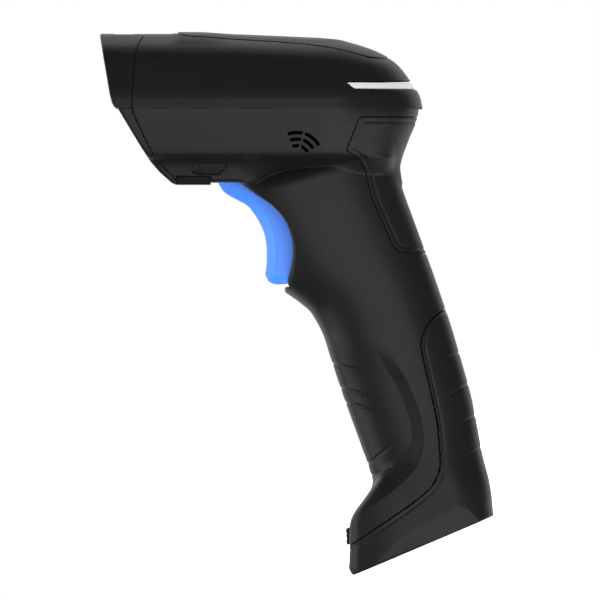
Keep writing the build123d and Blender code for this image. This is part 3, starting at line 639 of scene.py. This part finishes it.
def top_panel(x, y, z):
    """Thin panel let into the top of the crown, which it stands 0.1 mm proud of."""
    crown = crown_field(x, y, z)
    skin = np.maximum(crown - 0.1, -(crown + PANEL_THICK))
    skin = np.maximum(skin, PANEL_FLOOR - z)
    return round_max(skin, panel_plan(x, y), 0.3)


def light_bar(x, y, z):
    """White bar around the back of the crown, just below its surface."""
    outer = crown_field(x, y, z) + BAR_SUNK
    skin = np.maximum(outer, -(outer + BAR_THICK))
    return round_max(skin, bar_shape(x, z), 0.35)


def web_pad(x, y, z):
    """Thin soft pad on both sides of the neck's back, with a hairline inside its edge."""
    body = body_field(x, y, z)
    edge = web_side(x, z)
    skin = np.maximum(body + groove(edge + 1.5, HAIRLINE_DEEP), -(body + WEB_THICK))
    return round_max(skin, edge, 0.2)


def battery_cover(x, y, z):
    """Back of the grip and foot, grooved for the palm, with a notch for the latch."""
    body = body_field(x, y, z)
    joint = cover_side(x, z)
    cut = sum(groove(g(x, z)) for g in cover_grooves) + groove(joint + 1.2, HAIRLINE_DEEP)
    skin = np.maximum(body + cut, -(body + WALL))
    sx, sz = to_standing(x, z)
    skin = round_max(skin, joint + COVER_GAP, 0.15)
    latch_way = np.maximum(box_side(sx, sz, -19.6, -14.0, 6.5, 20), np.abs(y) - 4.6)
    return np.maximum(skin, -latch_way)


LATCH_Z = 11.65                  # standing height of the button's middle
LATCH_HALF_HEIGHT, LATCH_HALF_WIDTH = 2.4, 5.2
GRIP_Z, GRIP_APART = 11.9, 0.7   # two grip lines across it, this far above and below GRIP_Z


def cover_latch(x, y, z):
    """Latch: a button that fills its opening in the toe, on a tongue that reaches into the cover."""
    sx, sz = to_standing(x, z)
    button = np.maximum(foot_front(sz) - 1.0 - 0.25 * (sz - 10) / 4 - sx, sx + 14.6)
    edge = np.maximum(np.abs(sz - LATCH_Z) - LATCH_HALF_HEIGHT, np.abs(y) - LATCH_HALF_WIDTH)
    button = round_max(button, edge, 0.3)
    line = np.abs(np.abs(sz - GRIP_Z) - GRIP_APART)
    grip = 0.25 * np.clip(1 - (line / 0.3) ** 2, 0, 1) * (sx < -17)
    tongue = np.maximum(box_side(sx, sz, -18.8, -16.4, 7.3, 10.2), np.abs(y) - 4.0)
    return np.minimum(button + grip, tongue)


def nose_field(x, y, z):
    """The whole nose end as one solid, cut off by the slanted chin."""
    crown = np.maximum(crown_field(x, y, z), RIM_Z - z)
    chin = np.maximum(lower_head_field(x, y, z), z - RIM_Z)
    return round_max(np.minimum(crown, chin), -chin_outline(x, z), 0.8)


MOUTH_Z = 147.3   # height of the mouth's middle
MOUTH_HALF_WIDTH, MOUTH_HALF_HEIGHT = 25.5, 7.9
SEAT = 1.6        # the window's seat is this much larger all round


def front_bezel(x, y, z):
    """Nose shell with a front plate, the window's mouth and seat, and a lip behind the seam."""
    outer = nose_field(x, y, z)
    skin = np.maximum(outer, -(outer + WALL))
    plate = np.maximum(outer + 0.5, np.maximum(np.abs(x + 94.7) - 1.7, 136.5 - z))
    skin = np.minimum(skin, plate)
    inside = crown_field(x, y, z) + 4.2
    mouth = np.maximum(inside, np.maximum(np.abs(y) - MOUTH_HALF_WIDTH,
                                          np.abs(z - MOUTH_Z) - MOUTH_HALF_HEIGHT))
    seat = np.maximum(inside - SEAT, np.maximum(np.abs(y) - (MOUTH_HALF_WIDTH + SEAT),
                                                np.abs(z - MOUTH_Z) - (MOUTH_HALF_HEIGHT + SEAT)))
    seat = np.maximum(seat, -95.7 - x)
    top_slot = np.maximum(box_side(x, z, -96.0, -90.0, 158.28, 170), np.abs(y) - 6)
    skin = round_max(np.maximum(skin, -top_slot), -mouth, 0.5)
    skin = np.maximum(skin, -seat)
    lip = np.maximum(np.abs(outer + 1.3) - 0.6, np.abs(nose_seam(x, z)) - 1.2)
    return np.minimum(round_max(skin, nose_seam(x, z), 0.2), lip)


def beeper(x, y, z):
    """Round sounder with a small hole in its face, behind the sound slots."""
    radius = np.hypot(x - SOUNDER_X, z - SOUNDER_Z)
    drum = round_max(radius - SOUNDER_R, np.abs(y - SOUNDER_Y) - SOUNDER_HALF, 0.3)
    return np.maximum(drum, -np.maximum(radius - 1.0, y + 16.0))


def port_cover(x, y, z):
    """Plug across the whole keel under the chin, 0.7 mm inside the sides."""
    outer = np.maximum(np.abs(y) - side_half(z) + 0.7, KEEL_Z + 0.05 - z)
    return round_max(outer, box_side(x, z, port_x[0], port_x[1], port_z[0], port_z[1]), 0.25)


# ------------------------------------------------------------------ the trigger
# The face that the finger pulls, from its top to its tip, and the whole outline.
trigger_front = [(-64.0, 112.6), (-62.4, 109.9), (-60.6, 108.4), (-57.7, 106.8), (-54.7, 105.1),
                 (-52.9, 103.0), (-51.1, 100.2), (-49.8, 97.4), (-49.0, 94.4), (-48.7, 90.4),
                 (-48.8, 86.5), (-49.2, 84.1)]
trigger_face = [*spline_points(trigger_front), (-49.0, 83.2), (-48.1, 81.6), (-46.8, 80.9), (-45.4, 80.65)]
trigger_outline = outline_field([*trigger_face, (-42.6, 80.85), (-41.6, 81.0), (-38.8, 87.0), (-38.0, 92.0),
                                 (-40.0, 98.0), (-46.6, 107.0), (-56.2, 112.8), (-56.8, 115.6),
                                 (-63.2, 115.6)])
trigger_edge = line_field(trigger_face, margin=14)
PIN_X, PIN_Z = -60.0, 115.6    # the trigger's pin
HUB_R, PIN_HOLE_R = 3.4, 1.55
TRIGGER_HALF = 9.5             # half the trigger's width
BEVEL_DEEP = 3.1               # how far the bevels run in from the face
BEVEL_OUT, BEVEL_IN = 0.77, 0.64


def trigger(x, y, z):
    """Trigger with a bevelled face and a hub around its pin."""
    side = trigger_outline(x, z)
    depth = trigger_edge(x, z)
    flank = np.abs(y) - TRIGGER_HALF
    bevel = flank * BEVEL_OUT + (BEVEL_DEEP - depth) * BEVEL_IN
    body = round_max(round_max(flank, bevel, 0.35), side, 0.7)
    from_pin = np.hypot(x - PIN_X, z - PIN_Z)
    hub = round_max(from_pin - HUB_R, flank, 0.4)
    body = round_min(body, hub, 0.6)
    return np.maximum(body, PIN_HOLE_R - from_pin)


# ------------------------------------------------------------------ materials
CLOUD_SCALE, GRAIN_SCALE = 60.0, 900.0   # noise scales of the uneven colour and of the grain
GRAIN_DEEP = 0.0001                      # depth of the grain, in metres
UNEVEN = 0.04                            # how far the roughness varies


def material(name, colour, roughness, grain=0.0, mottle=0.06, **sockets):
    """Material with fine grain in its surface, and a little unevenness in colour and gloss."""
    made = bpy.data.materials.new(name)
    made.use_nodes = True
    nodes, links = made.node_tree.nodes, made.node_tree.links
    shader = nodes["Principled BSDF"]
    place = nodes.new("ShaderNodeTexCoord")
    cloud = nodes.new("ShaderNodeTexNoise")
    cloud.inputs["Scale"].default_value = CLOUD_SCALE
    cloud.inputs["Detail"].default_value = 4.0
    links.new(place.outputs["Object"], cloud.inputs["Vector"])
    tint = nodes.new("ShaderNodeMixRGB")
    tint.inputs["Color1"].default_value = (*[c * (1 - mottle) for c in colour], 1)
    tint.inputs["Color2"].default_value = (*[min(1, c * (1 + mottle)) for c in colour], 1)
    links.new(cloud.outputs["Fac"], tint.inputs["Fac"])
    links.new(tint.outputs["Color"], shader.inputs["Base Color"])
    gloss = nodes.new("ShaderNodeMapRange")
    gloss.inputs["To Min"].default_value = roughness - UNEVEN
    gloss.inputs["To Max"].default_value = roughness + UNEVEN
    links.new(cloud.outputs["Fac"], gloss.inputs["Value"])
    links.new(gloss.outputs["Result"], shader.inputs["Roughness"])
    if grain:
        speck = nodes.new("ShaderNodeTexNoise")
        speck.inputs["Scale"].default_value = GRAIN_SCALE
        speck.inputs["Detail"].default_value = 3.0
        links.new(place.outputs["Object"], speck.inputs["Vector"])
        bump = nodes.new("ShaderNodeBump")
        bump.inputs["Strength"].default_value = grain
        bump.inputs["Distance"].default_value = GRAIN_DEEP
        links.new(speck.outputs["Fac"], bump.inputs["Height"])
        links.new(bump.outputs["Normal"], shader.inputs["Normal"])
    for socket, value in sockets.items():
        shader.inputs[socket.replace("_", " ")].default_value = value
    return made


black = material("black_shell", (0.0085, 0.0085, 0.0088), 0.42, grain=0.3, Specular_IOR_Level=0.3)
rubber = material("black_rubber", (0.0092, 0.0092, 0.0095), 0.46, grain=0.4, Specular_IOR_Level=0.3)
dark_rubber = material("plug_rubber", (0.004, 0.004, 0.0042), 0.55, grain=0.4, Specular_IOR_Level=0.15)
beeper_black = material("beeper_case", (0.0015, 0.0015, 0.0016), 0.7, grain=0.2, Specular_IOR_Level=0.05)
white = material("white_diffuser", (0.58, 0.59, 0.60), 0.35, mottle=0.03)
blue = material("blue_trigger", (0.045, 0.22, 0.88), 0.34, grain=0.15, mottle=0.04)
steel = material("steel", (0.6, 0.6, 0.62), 0.3, Metallic=1.0)
inner_plastic = material("inner_plastic", (0.05, 0.05, 0.055), 0.5, grain=0.3)
board_green = material("circuit_board", (0.02, 0.16, 0.07), 0.4, grain=0.2)
chip = material("chip_plastic", (0.03, 0.03, 0.032), 0.45, grain=0.3)
ivory = material("white_plastic", (0.8, 0.79, 0.74), 0.4)
led = material("led_lens", (0.9, 0.87, 0.7), 0.2)
flex = material("flex_cable", (0.55, 0.28, 0.07), 0.35)
wrap = material("battery_wrap", (0.03, 0.25, 0.28), 0.3)
brass = material("brass_contact", (0.8, 0.62, 0.3), 0.3, Metallic=1.0)
window = material("window", (0.10, 0.012, 0.02), 0.08, mottle=0.02, Coat_Weight=0.4)
glass = material("lens_glass", (0.08, 0.09, 0.16), 0.05, mottle=0.02, Coat_Weight=0.6)

by_slot = {"black_shell": black, "black_rubber": rubber, "white_diffuser": white,
           "blue_trigger": blue, "steel": steel, "inner_plastic": inner_plastic,
           "circuit_board": board_green, "chip_plastic": chip, "white_plastic": ivory,
           "led_lens": led, "flex_cable": flex, "battery_wrap": wrap, "brass_contact": brass,
           "window": window, "lens_glass": glass}

for part in frame["record"]["subparts"]:
    node = frame["nodes"][part["node"]]
    finish = beeper_black if part["node"] == "beeper" else by_slot[part["material_slot"]]
    node.data.materials.clear()
    node.data.materials.append(finish)


# ------------------------------------------------------------------ pieces
def add_piece(name, node, body, field, low, high, step, standing=False, finish=black,
              fine=(None, None, None)):
    """Make one outer piece from its field, in place of its CAD node."""
    piece = surface(name, field, low, high, step, standing, fine)
    piece.data.materials.append(finish)
    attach(piece, body)
    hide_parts(node)


# The grid of the left shell is closer around the sound slots.
near_slots = ((-49.0, -30.5, STEP / 2), None, (110.0, 128.5, STEP / 2))

add_piece("crown_shell", "upper_housing", "housing", upper_housing,
          (-92, -33, 134.4), (0.6, 33, 159.6), STEP)
add_piece("left_shell", "left_housing", "housing", lower_housing(-1),
          (-92, -33, -2.5), (9.2, 0.9, 136.8), STEP, fine=near_slots)
add_piece("right_shell", "right_housing", "housing", lower_housing(1),
          (-92, -0.9, -2.5), (9.2, 33, 136.8), STEP)
add_piece("nose_bezel", "front_bezel", "housing", front_bezel,
          (-101.4, -33, 110.8), (-74, 33, 159.6), FINE)
add_piece("panel", "top_panel", "housing", top_panel,
          (-79, -16.4, 147), (-10, 16.4, 160), FINE)
add_piece("light_strip", "light_bar", "housing", light_bar,
          (-25, -32, 140.8), (0, 32, 144.2), FINE, finish=white)
add_piece("neck_pad", "web_pad", "housing", web_pad,
          (-26, -33, 89), (0.6, 33, 133.4), FINE, finish=rubber)
add_piece("rear_cover", "battery_cover", "battery_cover", battery_cover,
          (-25.4, -22, -0.6), (37, 22, 68), STEP, standing=True)
add_piece("toe_latch", "cover_latch", "cover_latch", cover_latch,
          (-25.4, -6, 6.6), (-13.4, 6, 15), FINE, standing=True)
add_piece("sounder", "beeper", "housing", beeper,
          (-46.4, -17.4, 114.0), (-32.4, -13.4, 128.0), STEP, finish=beeper_black)
add_piece("port_plug", "port_cover", "housing", port_cover,
          (-77.4, -24, 111), (-65.4, 24, 115), FINE, finish=dark_rubber)
add_piece("pull_trigger", "trigger", "trigger", trigger,
          (-65, -10.4, 80), (-37, 10.4, 120), FINE, finish=blue)


# ------------------------------------------------------------------ floor, light
def softbox(name, place, size, radiance):
    """Large rectangular studio light aimed at the scanner."""
    lamp = bpy.data.lights.new(name, "AREA")
    lamp.shape = "RECTANGLE"
    lamp.size, lamp.size_y = size
    lamp.energy = radiance * pi * size[0] * size[1]
    light = bpy.data.objects.new(name, lamp)
    bpy.context.collection.objects.link(light)
    aim = Vector((0, 0, 0.1)) - Vector(place)
    light.matrix_world = Matrix.Translation(place) @ aim.to_track_quat("-Z", "Y").to_matrix().to_4x4()
    light.visible_camera = False


# The paper under the scanner glows white by itself and adds nothing to the scanner's light.
HALF = 4.0   # half the width of the floor
floor_mesh = bpy.data.meshes.new("floor")
floor_mesh.from_pydata([(-HALF, -HALF, 0), (HALF, -HALF, 0), (HALF, HALF, 0), (-HALF, HALF, 0)],
                       [], [(0, 1, 2, 3)])
floor = bpy.data.objects.new("floor", floor_mesh)
bpy.context.collection.objects.link(floor)
paper = bpy.data.materials.new("paper")
paper.use_nodes = True
paper_shader = paper.node_tree.nodes["Principled BSDF"]
paper_shader.inputs["Base Color"].default_value = (0.9, 0.9, 0.9, 1)
paper_shader.inputs["Roughness"].default_value = 1.0
paper_shader.inputs["Specular IOR Level"].default_value = 0.0
paper_shader.inputs["Emission Color"].default_value = (1, 1, 1, 1)
paper_shader.inputs["Emission Strength"].default_value = 1.0
floor.data.materials.append(paper)
floor.visible_diffuse = False
floor.visible_glossy = False
floor.visible_shadow = False

world = bpy.data.worlds.new("studio")
bpy.context.scene.world = world
world.use_nodes = True
world.node_tree.nodes["Background"].inputs["Color"].default_value = (1, 1, 1, 1)
world.node_tree.nodes["Background"].inputs["Strength"].default_value = 1.0
world.cycles_visibility.glossy = False

# Each light's place and size in metres, and its strength.
softbox("front_light", (0.1, -1.2, -0.08), (1.2, 1.75), 1.4)
softbox("low_light", (0.1, -0.9, -0.85), (1.4, 0.5), 1.1)
softbox("left_light", (-1.35, 0.05, 0.55), (1.3, 1.4), 1.6)
softbox("right_light", (0.65, -0.25, -1.0), (0.9, 0.8), 1.8)
softbox("back_light", (0, 1.0, 0.1), (2.2, 2.2), 0.95)
